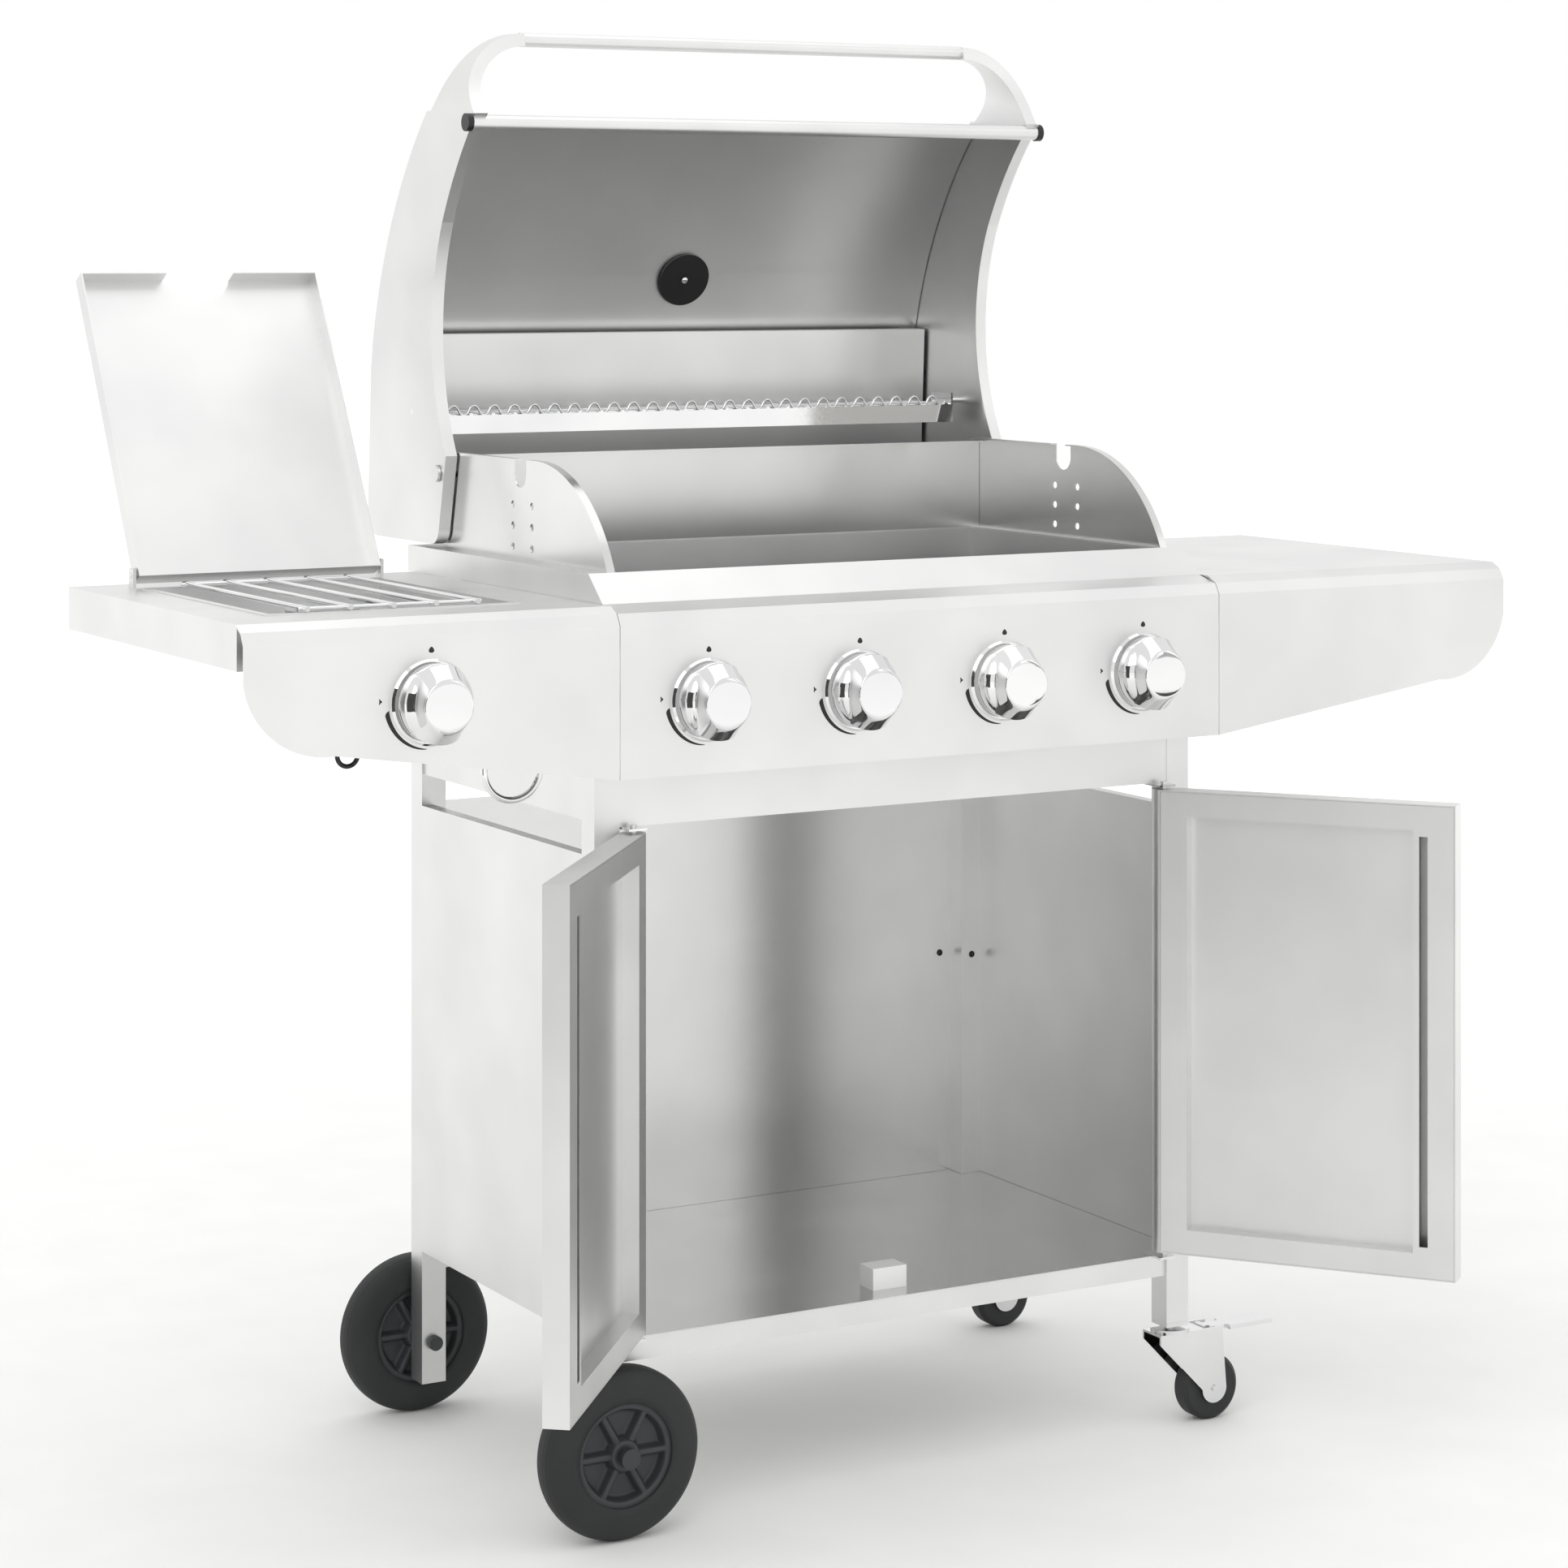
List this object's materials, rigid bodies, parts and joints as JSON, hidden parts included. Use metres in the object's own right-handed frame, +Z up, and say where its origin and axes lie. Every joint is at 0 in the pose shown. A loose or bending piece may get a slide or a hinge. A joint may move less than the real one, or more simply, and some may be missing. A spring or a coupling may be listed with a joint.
{
  "type": "gas barbecue grill",
  "caption": "Stainless gas grill on a wheeled cabinet: domed hinged hood, firebox, two doors, two side shelves and a lidded side burner.",
  "frame": {"origin": "centre of the overall box at the floor, in the pose with hood, doors and burner lid open", "axes": "+X to the right seen from the front, -Y to the front where the knobs are, +Z up"},
  "size_m": [1.334, 0.746, 1.3362],
  "materials": {
    "stainless": "satin",
    "chrome": "polished",
    "aluminium": "cast, satin",
    "brass": "machined",
    "iron": "matt enamel",
    "rubber": "moulded",
    "black_plastic": "moulded",
    "white_plastic": "moulded"
  },
  "bodies": {
    "cart": {"firebox_tub": "stainless", "firebox_rim": "stainless", "firebox_end_left": "stainless", "firebox_end_right": "stainless", "firebox_back": "stainless", "grates": "iron", "flame_tamers": "stainless", "burners": "stainless", "legs_left": "stainless", "legs_right": "stainless", "frame_rails": "stainless", "front_beam": "stainless", "bottom_shelf": "stainless", "side_panels": "stainless", "back_panel": "stainless", "door_catch": "white_plastic", "wheel_axles": "chrome", "door_hinge_lugs": "chrome", "fascia_centre": "stainless", "fascia_left": "stainless", "fascia_right": "stainless", "bezels": "chrome", "gas_valves": "brass", "manifold": "aluminium", "gas_inlet": "brass", "shelf_left": "stainless", "shelf_right": "stainless", "shelf_hook": "chrome", "side_burner_pan": "stainless", "side_burner_head": "aluminium", "pot_support": "iron"},
    "hood": {"hood_skin": "stainless", "hood_cap_left": "stainless", "hood_cap_right": "stainless", "hood_handle": "stainless", "lip_bar": "stainless", "lip_bar_plugs": "black_plastic", "thermometer": "black_plastic"},
    "rack": {"warming_rack": "chrome"},
    "left_door": {"door_left": "stainless"},
    "right_door": {"door_right": "stainless"},
    "burner_lid": {"side_burner_lid": "stainless"},
    "tray": {"drip_tray": "aluminium"},
    "front_wheel": {"wheel_front": "rubber"},
    "rear_wheel": {"wheel_rear": "rubber"},
    "front_fork": {"castor_fork_front": "chrome"},
    "rear_fork": {"castor_fork_rear": "chrome"},
    "front_castor": {"castor_wheel_front": "rubber"},
    "rear_castor": {"castor_wheel_rear": "rubber"},
    "pedal": {"castor_brake": "chrome"},
    "collar_1": {"push_collar_1": "brass"},
    "dial_1": {"knob_1": "chrome"},
    "collar_2": {"push_collar_2": "brass"},
    "dial_2": {"knob_2": "chrome"},
    "collar_3": {"push_collar_3": "brass"},
    "dial_3": {"knob_3": "chrome"},
    "collar_4": {"push_collar_4": "brass"},
    "dial_4": {"knob_4": "chrome"},
    "collar_side": {"push_collar_side": "brass"},
    "dial_side": {"knob_side": "chrome"}
  },
  "joints": [
    {"name": "hood_hinge", "type": "hinge", "parent": "cart", "child": "hood", "pos_m": [0, 0.20544, 0.915], "axis": [1, 0, 0], "range_deg": [0, 87]},
    {"name": "warming_rack_pivot", "type": "hinge", "parent": "hood", "child": "rack", "pos_m": [0, 0.26744, 0.972], "axis": [1, 0, 0], "range_deg": [-87, 0]},
    {"name": "door_left_hinge", "type": "hinge", "parent": "cart", "child": "left_door", "pos_m": [-0.285, -0.14256, 0.394], "axis": [0, 0, 1], "range_deg": [0, 130]},
    {"name": "door_right_hinge", "type": "hinge", "parent": "cart", "child": "right_door", "pos_m": [0.285, -0.14256, 0.394], "axis": [0, 0, -1], "range_deg": [0, 128]},
    {"name": "side_lid_hinge", "type": "hinge", "parent": "cart", "child": "burner_lid", "pos_m": [-0.498, 0.20644, 0.83], "axis": [1, 0, 0], "range_deg": [0, 120]},
    {"name": "drip_tray_slide", "type": "slide", "parent": "cart", "child": "tray", "axis": [0, 1, 0], "range_m": [0, 0.3]},
    {"name": "wheel_front_spin", "type": "hinge", "parent": "cart", "child": "front_wheel", "pos_m": [-0.3065, -0.15556, 0.076], "axis": [0, 1, 0], "continuous": true},
    {"name": "wheel_rear_spin", "type": "hinge", "parent": "cart", "child": "rear_wheel", "pos_m": [-0.3065, 0.27944, 0.076], "axis": [0, 1, 0], "continuous": true},
    {"name": "castor_front_swivel", "type": "hinge", "parent": "cart", "child": "front_fork", "pos_m": [0.3065, -0.12206, 0.09], "axis": [0, 0, 1], "continuous": true},
    {"name": "castor_front_roll", "type": "hinge", "parent": "front_fork", "child": "front_castor", "pos_m": [0.3485, -0.12206, 0.0315], "axis": [0, 1, 0], "continuous": true},
    {"name": "castor_rear_swivel", "type": "hinge", "parent": "cart", "child": "rear_fork", "pos_m": [0.3065, 0.24594, 0.09], "axis": [0, 0, 1], "continuous": true},
    {"name": "castor_rear_roll", "type": "hinge", "parent": "rear_fork", "child": "rear_castor", "pos_m": [0.3485, 0.24594, 0.0315], "axis": [0, 1, 0], "continuous": true},
    {"name": "castor_brake_pedal", "type": "hinge", "parent": "front_fork", "child": "pedal", "pos_m": [0.3445, -0.12206, 0.086], "axis": [0, 1, 0], "range_deg": [0, 12]},
    {"name": "knob_1_push", "type": "slide", "parent": "cart", "child": "collar_1", "axis": [0, 1, 0], "range_m": [0, 0.003], "stiffness_N_per_m": 400},
    {"name": "knob_1_turn", "type": "hinge", "parent": "collar_1", "child": "dial_1", "pos_m": [-0.2316, -0.19456, 0.733], "axis": [0, -1, 0], "range_deg": [0, 180]},
    {"name": "knob_2_push", "type": "slide", "parent": "cart", "child": "collar_2", "axis": [0, 1, 0], "range_m": [0, 0.003], "stiffness_N_per_m": 400},
    {"name": "knob_2_turn", "type": "hinge", "parent": "collar_2", "child": "dial_2", "pos_m": [-0.0772, -0.19456, 0.733], "axis": [0, -1, 0], "range_deg": [0, 180]},
    {"name": "knob_3_push", "type": "slide", "parent": "cart", "child": "collar_3", "axis": [0, 1, 0], "range_m": [0, 0.003], "stiffness_N_per_m": 400},
    {"name": "knob_3_turn", "type": "hinge", "parent": "collar_3", "child": "dial_3", "pos_m": [0.0772, -0.19456, 0.733], "axis": [0, -1, 0], "range_deg": [0, 180]},
    {"name": "knob_4_push", "type": "slide", "parent": "cart", "child": "collar_4", "axis": [0, 1, 0], "range_m": [0, 0.003], "stiffness_N_per_m": 400},
    {"name": "knob_4_turn", "type": "hinge", "parent": "collar_4", "child": "dial_4", "pos_m": [0.2316, -0.19456, 0.733], "axis": [0, -1, 0], "range_deg": [0, 180]},
    {"name": "knob_side_push", "type": "slide", "parent": "cart", "child": "collar_side", "axis": [0, 1, 0], "range_m": [0, 0.003], "stiffness_N_per_m": 400},
    {"name": "knob_side_turn", "type": "hinge", "parent": "collar_side", "child": "dial_side", "pos_m": [-0.498, -0.19456, 0.746], "axis": [0, -1, 0], "range_deg": [0, 180]}
  ],
  "couplings": [
    {"joint": "warming_rack_pivot", "follows": "hood_hinge", "ratio": -1}
  ]
}
